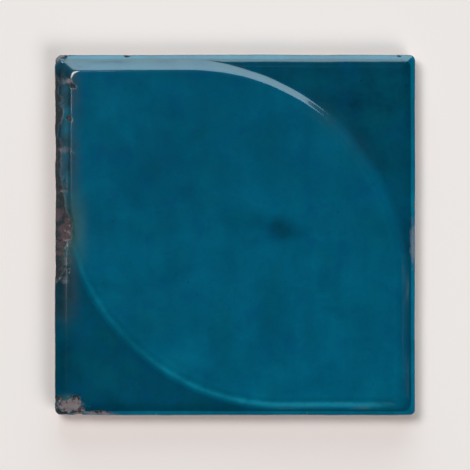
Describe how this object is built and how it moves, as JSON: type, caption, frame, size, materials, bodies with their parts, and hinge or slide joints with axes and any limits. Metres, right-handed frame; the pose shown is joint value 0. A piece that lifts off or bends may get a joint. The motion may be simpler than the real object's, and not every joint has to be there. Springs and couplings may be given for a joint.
{
  "type": "zellige-style tile",
  "caption": "Square glazed ceramic wall tile with a raised pad whose two opposite corners are swept off in large arcs, bedded on its grooved back.",
  "frame": {"origin": "centre of the back face, in the plane that the tile lies on", "axes": "+Z out of the glazed face; +X and +Y along the edges, with the pad's swept corners at +X+Y and at -X-Y"},
  "size_m": [0.1, 0.1, 0.01],
  "materials": {
    "teal_glaze": "glossy deep teal glaze, uneven in depth, over a red clay body"
  },
  "bodies": {
    "root": {"tile": "teal_glaze"}
  },
  "joints": []
}
